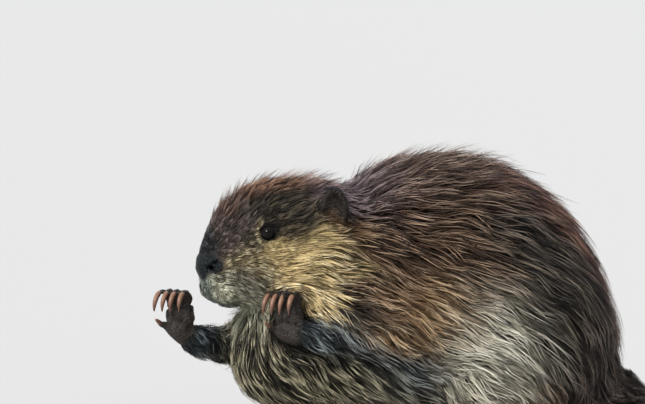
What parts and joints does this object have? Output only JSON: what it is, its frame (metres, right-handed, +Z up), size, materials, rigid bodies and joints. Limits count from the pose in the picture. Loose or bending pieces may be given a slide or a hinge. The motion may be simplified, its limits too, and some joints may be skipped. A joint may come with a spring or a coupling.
{
  "type": "beaver",
  "caption": "Life-size still model of a beaver sitting hunched on its hind feet, both forepaws held up closed at its mouth and its flat scaly tail laid out behind it.",
  "frame": {"origin": "the floor under the middle of the whole model's box", "axes": "+Z up; the animal faces -Y, its tail points to +Y and its left side is at +X"},
  "size_m": [0.325, 0.6948, 0.2659],
  "materials": {
    "coat": "dense brown fur with longer, glossy reddish-brown guard hairs, golden tan on the cheeks and grey-gold on the lower flank",
    "bare_skin": "dark creased skin with very short hair",
    "nose": "black, finely pebbled, slightly moist skin",
    "tail_skin": "dark grey-black scaly skin",
    "eye": "wet black-brown eyeball",
    "claw": "brown horn, paler at the tip"
  },
  "bodies": {
    "root": {"ear_left": "bare_skin", "ear_right": "bare_skin", "eye_left": "eye", "eye_right": "eye", "forearm_left": "coat", "forearm_right": "coat", "hand_left": "bare_skin", "hand_left_claw_1": "claw", "hand_left_claw_2": "claw", "hand_left_claw_3": "claw", "hand_left_claw_4": "claw", "hand_left_claw_5": "claw", "hand_right": "bare_skin", "hand_right_claw_1": "claw", "hand_right_claw_2": "claw", "hand_right_claw_3": "claw", "hand_right_claw_4": "claw", "hand_right_claw_5": "claw", "head": "coat", "hind_foot_left": "bare_skin", "hind_foot_left_claw_1": "claw", "hind_foot_left_claw_2": "claw", "hind_foot_left_claw_3": "claw", "hind_foot_left_claw_4": "claw", "hind_foot_left_claw_5": "claw", "hind_foot_right": "bare_skin", "hind_foot_right_claw_1": "claw", "hind_foot_right_claw_2": "claw", "hind_foot_right_claw_3": "claw", "hind_foot_right_claw_4": "claw", "hind_foot_right_claw_5": "claw", "hind_leg_left": "coat", "hind_leg_right": "coat", "lower_jaw": "coat", "neck": "coat", "nose": "nose", "tail": "tail_skin", "tail_base": "coat", "trunk": "coat", "upper_arm_left": "coat", "upper_arm_right": "coat"}
  },
  "joints": []
}
